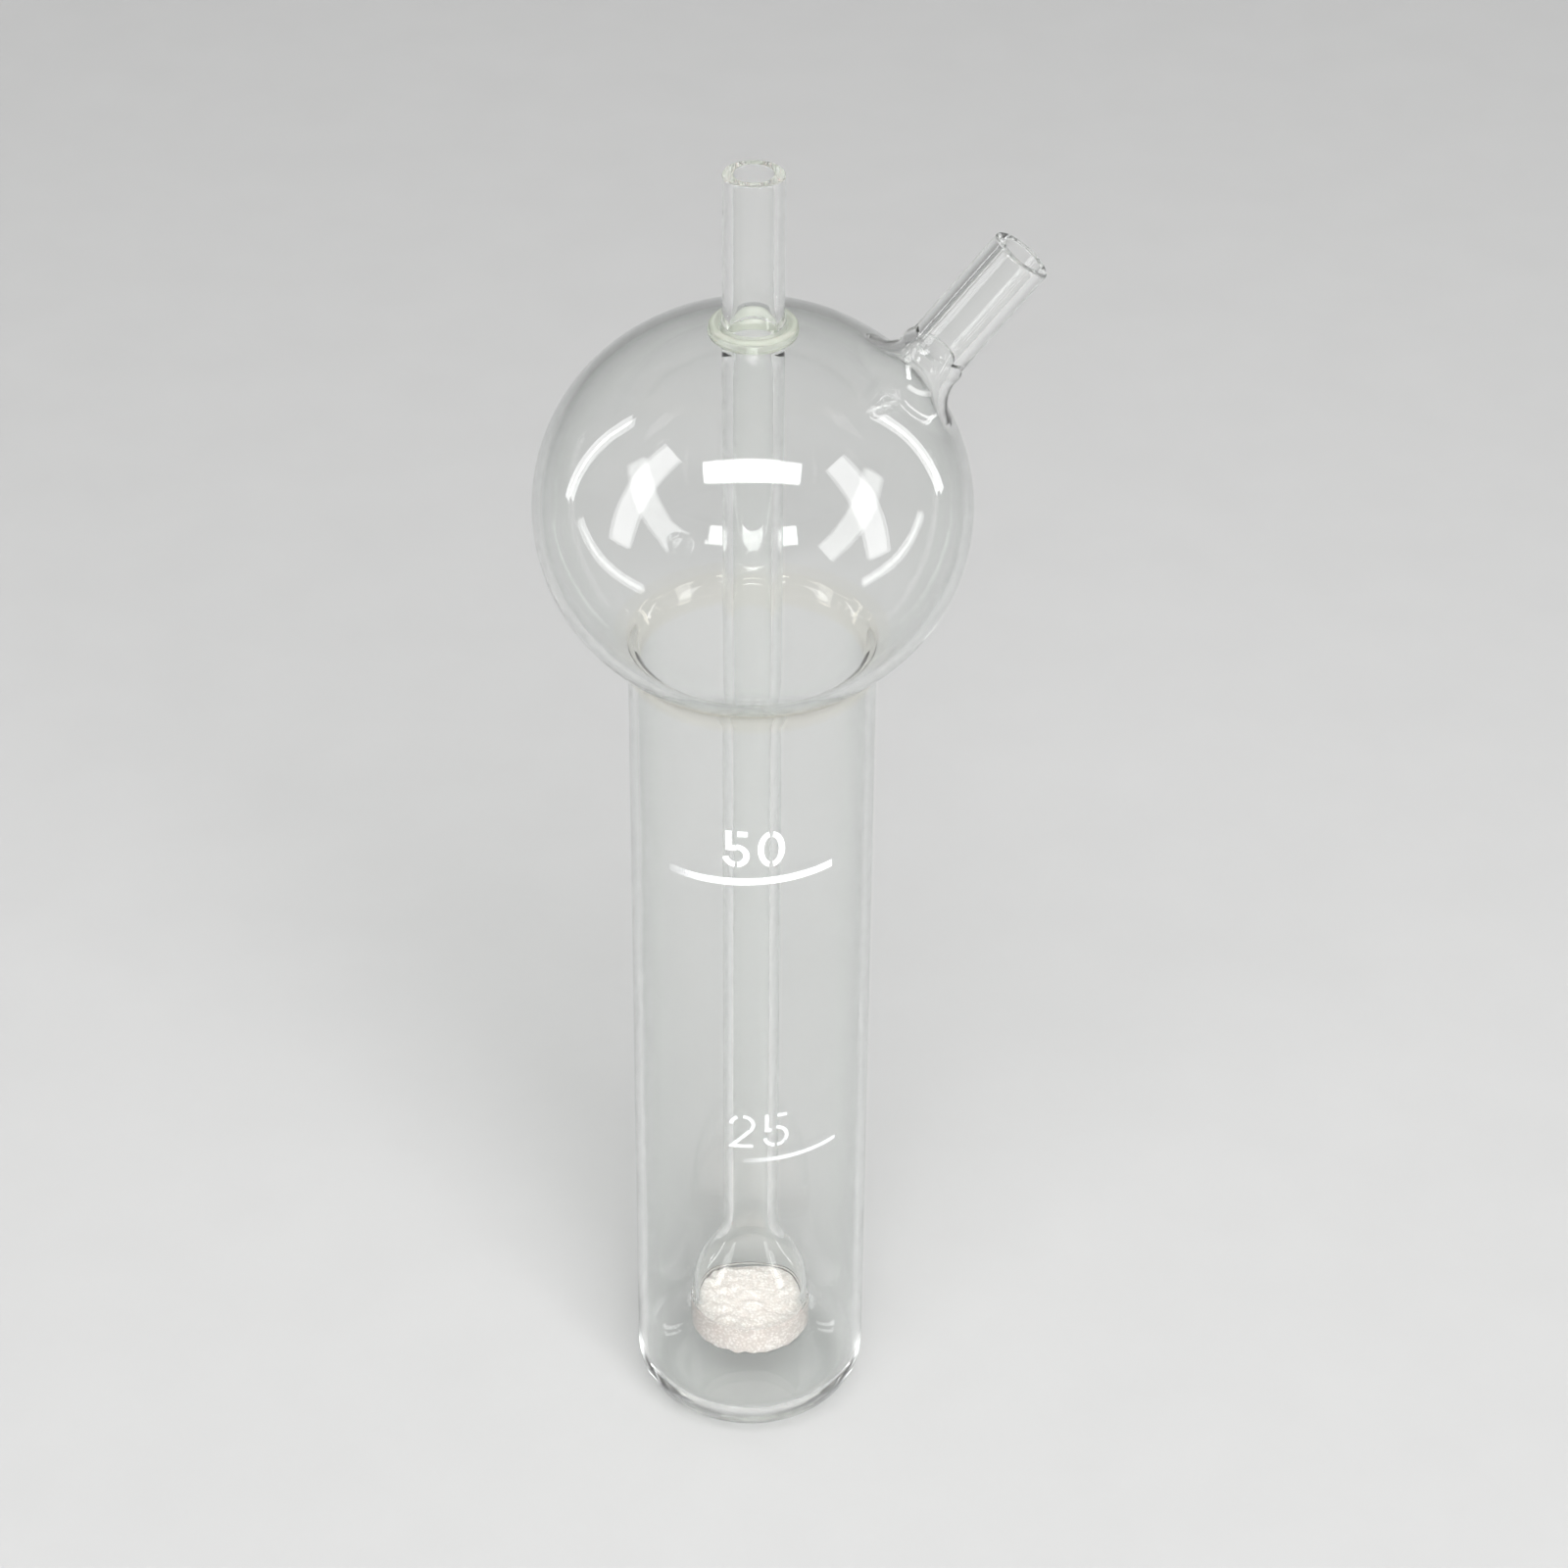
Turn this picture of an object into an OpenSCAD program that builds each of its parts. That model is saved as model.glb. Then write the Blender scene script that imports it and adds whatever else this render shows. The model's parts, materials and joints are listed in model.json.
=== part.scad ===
// Fritted gas-absorption bottle: a fused borosilicate glass vessel with a round flat
// base, a graduated barrel and a blown bulb. A gas inlet tube passes through a ring seal
// in the crown and ends near the base in a bell that holds a sintered glass disc.
// A second tube leaves the bulb at a slant through a flared neck and a weld ring.
//
// The origin is the middle of the base's resting face, +Z is the barrel's axis, and the
// outlet tube leans towards +X. All sizes are in millimetres.

/* [Barrel and base] */
// Outside diameter of the barrel
barrel_d = 30; // [29:0.1:31]
// Thickness of the vessel's wall
wall = 1.15; // [1:0.05:1.4]
// Outside radius of the rounded corner between base and barrel
corner_r = 6.6; // [5:0.1:7]
// Thickness of the flat bottom
floor_t = 1.8; // [1.4:0.1:2.4]
// Height at which the worked base ends and the straight barrel starts
base_h = 8; // [7.6:0.1:9]

/* [Bulb] */
// Width of the bulb
bulb_d = 52; // [51:0.1:53]
// Height of the bulb, if it were whole
bulb_h = 49; // [48:0.1:50]
// Height of the bulb's middle above the base
bulb_z = 135.2; // [134:0.1:136]
// Fillet outside the seam between barrel and bulb
seam_fillet = 3; // [2:0.1:3.4]
// Fillet inside the same seam, smaller because the glass gathers there
seam_inner_fillet = 2; // [1.5:0.1:2.5]
// Height of the lower edge of the seam ring
seam_z = 113; // [112:0.1:113.4]
// Height of the seam ring
seam_h = 4; // [3.8:0.1:4.4]

/* [Inlet and dip tube] */
// Outside diameter of the inlet and dip tube
tube_d = 7.2; // [7:0.1:7.4]
// Bore of the inlet and dip tube
tube_bore = 4.6; // [4.2:0.1:4.8]
// Height of the inlet's rim above the base
inlet_top_z = 178.3; // [175:0.1:182]
// Outside diameter of the ring seal
ring_d = 10.3; // [10:0.1:10.8]
// Diameter of the inlet tube's spread foot on the ring seal
foot_d = 8; // [7.8:0.1:8.2]
// Height over which the foot runs into the straight tube
foot_h = 2.2; // [1.5:0.1:3]
// Bore at the ring seal, where the tube is blown out a little
ring_bore = 5.6; // [5:0.1:5.8]
// Length over which the bore opens to the ring seal's bore
bore_taper = 3.4; // [2.6:0.1:4]

/* [Bell and sintered disc] */
// Height of the bell's neck, where the dip tube ends
bell_top_z = 28.2; // [27:0.1:30]
// Height at which the bell reaches its full width
bell_shoulder_z = 15.5; // [15:0.1:16]
// Reach of the two curves that make the bell's ogee
bell_reach = 6.6; // [5:0.1:7]
// Outside diameter of the bell
bell_d = 15.2; // [15:0.1:15.4]
// Thickness of the bell's wall below its shoulder, where it is blown thin
bell_wall = 0.6; // [0.5:0.1:1.2]
// Height of the top of the sintered disc and of the band fused round it
disc_top_z = 14; // [13.6:0.1:14.4]
// Height of the underside of the sintered disc
disc_z = 9.4; // [9.3:0.1:10]
// Diameter of the sintered disc
disc_d = 14; // [13.6:0.1:14.4]
// Outside diameter of the band fused round the disc
band_d = 15.8; // [15.6:0.1:16]
// Height of the band's lower edge
band_z = 9.2; // [8.8:0.1:9.3]
// Rounding of the band's lower edge
band_round = 0.8; // [0.4:0.1:0.8]

/* [Outlet] */
// Outside diameter of the outlet tube
outlet_d = 7.5; // [7.3:0.1:7.7]
// Bore of the outlet tube
outlet_bore = 4.9; // [4.6:0.1:5.1]
// Lean of the outlet tube from the vertical, in degrees
outlet_tilt = 37.7; // [36:0.1:40]
// Place of the outlet on the bulb, in degrees from the crown
port_tilt = 43.5; // [42:0.1:45]
// Length from the bulb's surface to the outlet's rim
outlet_len = 19.5; // [17:0.1:22]
// Radius of the concave flare between bulb and outlet tube
flare_r = 5; // [4.6:0.1:5.2]
// Half width of the neck where the flare is narrowest
neck_r = 4.1; // [4:0.05:4.2]
// Outside diameter of the weld ring
weld_d = 8.7; // [8.5:0.1:9]
// Distance from the bulb's surface to the weld ring
weld_from = 2.75; // [2.6:0.05:2.9]
// Width of the weld ring along the tube
weld_w = 1.7; // [1.4:0.1:2]

/* [Graduation] */
// Volume between the two marks, in millilitres
volume_step = 25; // [24:0.5:26]
// Height of the upper mark's line
upper_mark_z = 91.7; // [88:0.1:95]
// Direction that the marks face, in degrees from +X
marks_azimuth = -93; // [-100:1:-80]
// Thickness of the frosted layer
etch_t = 0.06; // [0.04:0.01:0.1]
// Height of the numerals
digit_h = 5.2; // [4.5:0.1:6]
// Width of one numeral
digit_w = 3.3; // [3:0.1:3.6]
// Gap between two numerals
digit_gap = 0.95; // [0.7:0.05:1.2]
// Gap between a line and the numerals over it
digit_lift = 2.1; // [1.5:0.1:3]
// Slope of the two lines, in degrees
line_slope = 2.3; // [0:0.1:3]

/* [Hidden] */
$fn = 128;

barrel_r = barrel_d / 2;
tube_r = tube_d / 2;
bore_r = tube_bore / 2;
ring_r = ring_d / 2;
outlet_r = outlet_d / 2;
seam_top_z = seam_z + seam_h;
rim_round = 0.3;
cut = 100;
// The seam line of every turned wall is kept out of the plane that the two tubes share.
seam_turn = 10;

// The bulb's outline is an oval of four arcs: two of side_r at the sides, with their
// centres oval_c from the axis, and two of cap_r over and under, meeting at 45 degrees.
oval_c = (bulb_d - bulb_h) / 2 / (2 - sqrt(2));
side_r = bulb_d / 2 - oval_c;
cap_r = side_r + sqrt(2) * oval_c;
cap_z = bulb_z - oval_c;

// Height of the bulb's upper cap, of radius cap, at a distance r from the axis.
function cap_height(cap, r) = cap_z + sqrt(cap * cap - r * r);

// The ring seal fills the hole in the crown: its rim is as thick as the bulb's wall.
ring_top_z = cap_height(cap_r, ring_r);
ring_low_z = cap_height(cap_r - wall, ring_r);
ring_bead = 0.5;
ring_under = 0.6;

// Where the outlet's axis leaves the bulb.
port = [cap_r * sin(port_tilt), 0, cap_z + cap_r * cos(port_tilt)];
// The flare's arc touches the neck's side and the bulb's surface. It is sunk a little,
// so that it crosses the surface at a clear angle.
flare_sink = 0.15;
flare_x = neck_r + flare_r;
flare_h = sqrt(pow(cap_r + flare_r, 2) - pow(flare_x, 2)) - cap_r - flare_sink;
port_r = flare_x * cap_r / (cap_r + flare_r);

// Height of barrel that holds volume_step around the dip tube.
bore_area = PI * (pow(barrel_r - wall, 2) - pow(tube_r, 2) + pow(bore_r, 2));
mark_step = volume_step * 1000 / bore_area;
lower_mark_z = upper_mark_z - mark_step;

// Points of a cubic curve from a to d, with b and c as its handles.
function curve(a, b, c, d, steps = 24) = [
    for (i = [0 : steps])
        let (t = i / steps, u = 1 - t)
        u * u * u * a + 3 * u * u * t * b + 3 * u * t * t * c + t * t * t * d
];

// Points of an elliptical arc, in degrees from +X.
function arc(rx, ry, from, to, steps = 10) = [
    for (i = [0 : steps])
        let (t = from + (to - from) * i / steps)
        [rx * cos(t), ry * sin(t)]
];

// Right half of the bulb's outline, at its own height, drawn in by inset.
module oval_half(inset) {
    join_h = (side_r - inset) * sin(45);
    translate([0, bulb_z]) {
        intersection() {
            translate([oval_c, 0]) circle(side_r - inset);
            translate([0, -join_h]) square([bulb_d, 2 * join_h]);
        }
        for (side = [0, 1])
            mirror([0, side])
            intersection() {
                translate([0, -oval_c]) circle(cap_r - inset);
                translate([0, join_h]) square([bulb_d, bulb_h]);
            }
    }
}

// Right half of the vessel's outline from floor_z up: a column with a rounded corner,
// a concave fillet and the oval, all drawn in by inset.
module vessel_half(inset, floor_z, fillet) {
    column_r = barrel_r - inset;
    round_r = corner_r - inset;
    cap = cap_r - inset;
    centre_z = bulb_z + oval_c;
    fillet_x = column_r + fillet;
    fillet_z = centre_z - sqrt(pow(cap + fillet, 2) - pow(fillet_x, 2));
    touch = cap / (cap + fillet);
    touch_z = centre_z - (centre_z - fillet_z) * touch;

    translate([0, floor_z]) square([column_r - round_r, bulb_z - floor_z]);
    translate([0, floor_z + round_r]) square([column_r, bulb_z - floor_z - round_r]);
    intersection() {
        translate([column_r - round_r, floor_z + round_r]) circle(round_r);
        translate([0, floor_z]) square(column_r);
    }
    oval_half(inset);
    difference() {
        polygon([[0, fillet_z], [fillet_x, fillet_z], [fillet_x * touch, touch_z], [0, touch_z]]);
        translate([fillet_x, fillet_z]) circle(fillet);
    }
}

// The vessel's wall between two heights.
module vessel_wall(from_z, to_z) {
    rotate([0, 0, seam_turn])
    rotate_extrude()
    intersection() {
        difference() {
            vessel_half(0, 0, seam_fillet);
            vessel_half(wall, floor_t, seam_inner_fillet);
        }
        translate([0, from_z]) square([bulb_d, to_z - from_z]);
    }
}

// Half section of a tube wall that stands on z = 0 and ends in a polished rim.
module tube_half(outer_r, inner_r, length) {
    translate([inner_r, 0]) square([outer_r - inner_r, length - rim_round]);
    translate([inner_r + rim_round, 0]) square([outer_r - inner_r - 2 * rim_round, length]);
    for (x = [inner_r + rim_round, outer_r - rim_round])
        translate([x, length - rim_round]) circle(rim_round);
}

// Puts its child on the bulb, with z = 0 at the surface and +Z leaning by tilt.
module on_port(tilt) {
    translate(port) rotate([0, tilt, 0]) children();
}

// The round patch of the bulb that the neck takes the place of.
module port_patch() {
    depth = 4 * wall;
    on_port(port_tilt) translate([0, 0, -depth]) cylinder(h = 2 * depth, r = port_r);
}

// The flare about the port's own axis, grown inwards by inset.
module flare(inset) {
    rotate_extrude()
    difference() {
        translate([0, -2 * wall]) square([flare_x, flare_h + 2 * wall]);
        translate([flare_x, flare_h]) circle(flare_r + inset);
    }
}

module base() {
    color("LightCyan")
    vessel_wall(0, base_h);
}

module barrel() {
    color("Azure")
    vessel_wall(base_h, seam_z);
}

module shoulder_seam() {
    color("PaleGoldenrod")
    vessel_wall(seam_z, seam_top_z);
}

module bulb() {
    color("LightCyan")
    difference() {
        vessel_wall(seam_top_z, bulb_z + bulb_h);
        rotate([0, 0, seam_turn]) translate([0, 0, bulb_z]) cylinder(h = bulb_h, r = ring_r);
        port_patch();
    }
}

module ring_seal() {
    inner_r = ring_bore / 2;
    bead_x = ring_r - ring_bead;
    under_x = ring_r - ring_under;
    under_z = ring_low_z - ring_under;
    color("DarkSeaGreen")
    rotate_extrude() {
        translate([inner_r, ring_low_z]) square([ring_r - inner_r, ring_top_z - ring_low_z]);
        translate([inner_r, under_z]) square([under_x - inner_r, ring_under]);
        intersection() {
            translate([under_x, ring_low_z]) circle(ring_under);
            translate([inner_r, under_z]) square([ring_r, ring_under]);
        }
        intersection() {
            translate([bead_x, ring_top_z]) circle(ring_bead);
            translate([0, ring_top_z]) square([ring_r, ring_bead]);
        }
    }
}

module inlet_tube() {
    length = inlet_top_z - ring_top_z;
    spread = foot_d / 2 - tube_r;
    sweep_r = (foot_h * foot_h + spread * spread) / (2 * spread);
    color("AliceBlue")
    translate([0, 0, ring_top_z])
    rotate_extrude()
    difference() {
        union() {
            tube_half(tube_r, bore_r, length);
            difference() {
                translate([bore_r, 0]) square([foot_d / 2 - bore_r, foot_h]);
                translate([tube_r + sweep_r, foot_h]) circle(sweep_r);
            }
        }
        polygon([[0, 0], [ring_bore / 2, 0], [bore_r, bore_taper], [0, bore_taper]]);
    }
}

module dip_tube() {
    top_z = ring_low_z - ring_under;
    taper_z = top_z - bore_taper;
    color("AliceBlue")
    rotate_extrude()
    difference() {
        translate([bore_r, bell_top_z]) square([tube_r - bore_r, top_z - bell_top_z]);
        polygon([[0, top_z], [ring_bore / 2, top_z], [bore_r, taper_z], [0, taper_z]]);
    }
}

module frit_bell() {
    outer_r = bell_d / 2;
    inner_r = outer_r - bell_wall;
    handle = [0, bell_reach];
    neck = [tube_r, bell_top_z];
    throat = [bore_r, bell_top_z];
    shoulder = [outer_r, bell_shoulder_z];
    hollow = [inner_r, bell_shoulder_z];
    color("AliceBlue")
    rotate_extrude()
    polygon(concat(
        curve(neck, neck - handle, shoulder + handle, shoulder),
        [[outer_r, disc_top_z], [inner_r, disc_top_z]],
        curve(hollow, hollow + handle, throat - handle, throat)
    ));
}

module frit_band() {
    inner_r = disc_d / 2;
    outer_r = band_d / 2;
    thickness = outer_r - inner_r;
    round_z = band_z + band_round;
    color("LightCyan")
    rotate_extrude() {
        translate([inner_r, round_z]) square([thickness, disc_top_z - round_z]);
        intersection() {
            translate([outer_r - band_round, round_z]) circle(band_round);
            translate([inner_r, band_z]) square([thickness, band_round]);
        }
    }
}

module fritted_disc() {
    color("Snow")
    translate([0, 0, disc_z]) cylinder(h = disc_top_z - disc_z, r = disc_d / 2);
}

module outlet_neck() {
    color("LightCyan")
    difference() {
        intersection() {
            union() {
                rotate_extrude() oval_half(0);
                on_port(port_tilt) flare(0);
            }
            port_patch();
        }
        rotate_extrude() oval_half(wall);
        on_port(port_tilt) flare(wall);
        on_port(outlet_tilt) translate([0, 0, weld_from]) cylinder(h = cut, r = cut / 2);
    }
}

module outlet_weld() {
    outer_r = weld_d / 2;
    edge_r = 0.4;
    color("DarkSeaGreen")
    on_port(outlet_tilt)
    translate([0, 0, weld_from])
    rotate_extrude()
    difference() {
        union() {
            square([outer_r - edge_r, weld_w]);
            translate([0, edge_r]) square([outer_r, weld_w - 2 * edge_r]);
            for (z = [edge_r, weld_w - edge_r])
                translate([outer_r - edge_r, z]) circle(edge_r);
        }
        polygon([[0, 0], [neck_r - wall, 0], [outlet_bore / 2, weld_w], [0, weld_w]]);
    }
}

module outlet_tube() {
    start = weld_from + weld_w;
    color("AliceBlue")
    on_port(outlet_tilt)
    translate([0, 0, start])
    rotate_extrude() tube_half(outlet_r, outlet_bore / 2, outlet_len - start);
}

// Wraps its flat child round the barrel as a thin frosted layer. The child's +X runs to
// the right and its +Y up, and its origin lands at height z and turned by azimuth.
module etched(z, azimuth) {
    intersection() {
        difference() {
            cylinder(h = bulb_z, r = barrel_r + etch_t);
            translate([0, 0, -1]) cylinder(h = bulb_z + 2, r = barrel_r);
        }
        rotate([0, 0, azimuth + 90])
        translate([0, 0, z])
        rotate([90, 0, 0])
        linear_extrude(barrel_r + 1) children();
    }
}

// A graduation line across the front, from one angle to another about the marks' middle.
module mark_line(z, from_angle, to_angle, width) {
    left = barrel_r * sin(from_angle);
    right = barrel_r * sin(to_angle);
    color("WhiteSmoke")
    etched(z, marks_azimuth)
    rotate(line_slope)
    translate([left, -width / 2]) square([right - left, width]);
}

// A stroke of the numerals that follows an elliptical arc.
module arc_stroke(rx, ry, stroke, from, to) {
    inner = arc(rx - stroke, ry - stroke, to, from);
    polygon(concat(arc(rx, ry, from, to), inner));
}

module digit_0(stroke) {
    for (side = [0, 180])
        rotate(side) arc_stroke(digit_w / 2, digit_h / 2, stroke, -80, 80);
}

module digit_5(stroke) {
    half_w = digit_w / 2;
    top_y = digit_h / 2;
    bowl_r = digit_h * 0.32;
    bowl_y = bowl_r - top_y;
    stem_x = stroke / 2 - half_w;
    stem_y = bowl_y + bowl_r * 0.45;
    foot_w = stroke * 1.7;
    bar_x = half_w * 0.1;
    bar_w = half_w * 0.75;
    translate([0, bowl_y]) {
        arc_stroke(half_w, bowl_r, stroke, -84, 88);
        arc_stroke(half_w, bowl_r, stroke, 190, 264);
    }
    translate([stem_x, stem_y]) square([stroke, top_y - stem_y]);
    translate([stem_x, stem_y]) square([foot_w, stroke]);
    translate([bar_x, top_y - stroke]) square([bar_w, stroke]);
}

module digit_2(stroke) {
    half_w = digit_w / 2;
    head_r = digit_h * 0.3;
    head_y = digit_h / 2 - head_r;
    foot_y = -digit_h / 2;
    bend = [half_w * 0.77, head_y - head_r * 0.64];
    heel_x = stroke * 0.8 - half_w;
    bar_x = stroke * 1.1 - half_w;
    bar_w = half_w * 0.75;
    translate([0, head_y]) {
        arc_stroke(half_w, head_r, stroke, -40, 85);
        arc_stroke(half_w, head_r, stroke, 115, 175);
    }
    polygon([
        bend,
        bend + [-stroke, head_r * 0.14],
        [-half_w, foot_y + stroke / 2],
        [-half_w, foot_y],
        [heel_x, foot_y]
    ]);
    for (x = [bar_x, half_w * 0.1])
        translate([x, foot_y]) square([bar_w, stroke]);
}

// Two numerals side by side over a line at height z.
module numerals(z, turn) {
    pitch = digit_w + digit_gap;
    color("WhiteSmoke")
    etched(z + digit_lift + digit_h / 2, marks_azimuth + turn) {
        translate([-pitch / 2, 0]) children(0);
        translate([pitch / 2, 0]) children(1);
    }
}

module mark_50_line() {
    mark_line(upper_mark_z, -41, 41, 1);
}

module mark_50_digits() {
    numerals(upper_mark_z, 1.5) {
        digit_5(0.75);
        digit_0(0.75);
    }
}

module mark_25_line() {
    mark_line(lower_mark_z, -3, 46, 0.6);
}

module mark_25_digits() {
    numerals(lower_mark_z, 4.6) {
        digit_2(0.5);
        digit_5(0.5);
    }
}

base();
barrel();
shoulder_seam();
bulb();
ring_seal();
inlet_tube();
dip_tube();
frit_bell();
frit_band();
fritted_disc();
outlet_neck();
outlet_weld();
outlet_tube();
mark_50_line();
mark_50_digits();
mark_25_line();
mark_25_digits();
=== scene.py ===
"""Looks of a fritted gas-absorption bottle: clear fused glass, a sintered disc and etched marks.

Each glass piece is turned or lofted as one closed mesh with exact normals. Where two pieces
are fused, both end in a face that light passes unbent, so that the glass reads as one body.
"""

import json
import logging
import math
from dataclasses import dataclass, field
from enum import Enum

import bpy
import numpy as np
from mathutils import Matrix, Vector


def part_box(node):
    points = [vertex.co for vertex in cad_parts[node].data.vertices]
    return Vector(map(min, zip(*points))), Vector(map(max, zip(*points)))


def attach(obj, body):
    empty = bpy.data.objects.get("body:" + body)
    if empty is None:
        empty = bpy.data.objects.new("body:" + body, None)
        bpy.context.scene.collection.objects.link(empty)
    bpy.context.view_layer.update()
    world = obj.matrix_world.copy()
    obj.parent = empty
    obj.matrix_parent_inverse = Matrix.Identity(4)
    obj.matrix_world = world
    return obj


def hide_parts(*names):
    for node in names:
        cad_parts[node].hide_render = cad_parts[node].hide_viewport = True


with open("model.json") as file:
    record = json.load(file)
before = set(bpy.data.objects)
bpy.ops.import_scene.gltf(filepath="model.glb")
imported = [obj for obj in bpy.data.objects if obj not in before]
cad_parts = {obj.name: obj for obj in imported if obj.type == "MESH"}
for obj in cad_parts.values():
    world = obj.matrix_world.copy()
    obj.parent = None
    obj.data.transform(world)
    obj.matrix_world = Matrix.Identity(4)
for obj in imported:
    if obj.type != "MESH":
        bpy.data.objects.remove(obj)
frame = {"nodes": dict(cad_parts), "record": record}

log = logging.getLogger("gas_bottle")

MM = 0.001
TURN_STEPS = 160
TUBE_STEPS = 144
SAME_POINT = 1e-9
SAME_HEIGHT = 1e-6
GLASS_INDEX = 1.47
OUTER_LIP = 0.3 * MM
INNER_LIP = 0.15 * MM


# ---------------------------------------------------------------- places and sizes


@dataclass(frozen=True)
class Extent:
    """Lowest and highest corner of one CAD node, in metres."""

    low: Vector
    high: Vector

    @classmethod
    def of(cls, node: str) -> "Extent":
        """The extent of a CAD node."""
        low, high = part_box(node)
        return cls(Vector(low), Vector(high))

    @property
    def radius(self) -> float:
        """Half the node's width across Y, where nothing leans."""
        return (self.high.y - self.low.y) / 2


def extent(node: str) -> Extent:
    """A dataclass field that holds the extent of a CAD node."""
    return field(default_factory=lambda: Extent.of(node))


def mount(name: str) -> dict:
    """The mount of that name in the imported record.

    Args:
        name: The mount's name.

    Returns:
        The mount's own entry.
    """
    return next(m for m in frame["record"]["mounts"] if m["name"] == name)


def mount_radius(name: str) -> float:
    """The radius of a round mount, in metres."""
    return mount(name)["dims"]["r_mm"] * MM


# ---------------------------------------------------------------- node trees


class NodeTree:
    """A material under construction, with short calls to add and join its nodes."""

    def __init__(self, name: str) -> None:
        """Starts an empty material.

        Args:
            name: The material's name.
        """
        self.material = bpy.data.materials.new(name)
        self.material.use_nodes = True
        self.tree = self.material.node_tree
        self.tree.nodes.clear()

    def add(self, kind: str, settings: dict | None = None, **values: object) -> bpy.types.Node:
        """Adds a node.

        Args:
            kind: The node's type, without its ShaderNode prefix.
            settings: Attributes of the node itself.
            **values: Socket values or sources, by socket name with spaces as underscores.

        Returns:
            The new node.
        """
        node = self.tree.nodes.new("ShaderNode" + kind)
        for key, value in (settings or {}).items():
            setattr(node, key, value)
        for key, value in values.items():
            self.feed(node.inputs[key.replace("_", " ")], value)
        return node

    def feed(self, socket: bpy.types.NodeSocket, value: object) -> None:
        """Sets a socket to a value, or joins an output to it.

        Args:
            socket: The input socket.
            value: A value, or the output socket that feeds it.
        """
        if isinstance(value, bpy.types.NodeSocket):
            self.tree.links.new(value, socket)
        else:
            socket.default_value = value

    def place(self) -> bpy.types.NodeSocket:
        """The point on the surface, in metres in the part's own frame."""
        return self.add("TexCoord").outputs["Object"]

    def noise(self, scale: float, detail: float = 2.0, roughness: float = 0.5) -> bpy.types.Node:
        """Smooth noise over the part's own frame.

        Args:
            scale: Waves per metre.
            detail: Octaves of finer noise.
            roughness: Share that each octave keeps.

        Returns:
            The noise node.
        """
        return self.add(
            "TexNoise", Vector=self.place(), Scale=scale, Detail=detail, Roughness=roughness
        )

    def ramp(self, source: object, low: float, high: float) -> bpy.types.NodeSocket:
        """Maps a value from low..high to 0..1, with a soft start and end.

        Args:
            source: The value's socket.
            low: Where the result is 0.
            high: Where the result is 1.

        Returns:
            The mapped value.
        """
        soft = {"interpolation_type": "SMOOTHSTEP"}
        node = self.add("MapRange", soft, Value=source, From_Min=low, From_Max=high)
        return node.outputs["Result"]

    def maths(self, operation: str, first: object, second: object = 0.0) -> bpy.types.NodeSocket:
        """One step of arithmetic.

        Args:
            operation: The Math node's operation.
            first: First value or socket.
            second: Second value or socket.

        Returns:
            The result.
        """
        node = self.add("Math", {"operation": operation})
        self.feed(node.inputs[0], first)
        self.feed(node.inputs[1], second)
        return node.outputs[0]

    def blend_colours(self, share: object, first: object, second: object) -> bpy.types.NodeSocket:
        """A colour between two, by share.

        Args:
            share: 0 for the first and 1 for the second.
            first: First colour.
            second: Second colour.

        Returns:
            The mixed colour.
        """
        node = self.add("Mix", {"data_type": "RGBA"})
        self.feed(node.inputs[0], share)
        self.feed(node.inputs[6], first)
        self.feed(node.inputs[7], second)
        return node.outputs[2]

    def blend_shaders(self, share: object, first: object, second: object) -> bpy.types.NodeSocket:
        """A shader between two, by share.

        Args:
            share: 0 for the first and 1 for the second.
            first: First shader.
            second: Second shader.

        Returns:
            The mixed shader.
        """
        node = self.add("MixShader")
        self.feed(node.inputs[0], share)
        self.feed(node.inputs[1], first)
        self.feed(node.inputs[2], second)
        return node.outputs[0]

    def finish(self, surface: bpy.types.NodeSocket) -> bpy.types.Material:
        """Joins the shader to the output.

        Args:
            surface: The shader.

        Returns:
            The finished material.
        """
        output = self.add("OutputMaterial")
        self.tree.links.new(surface, output.inputs["Surface"])
        return self.material


# ---------------------------------------------------------------- finishes


def colour(red: float, green: float, blue: float) -> tuple[float, float, float, float]:
    """An opaque colour, in linear light."""
    return (red, green, blue, 1.0)


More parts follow.
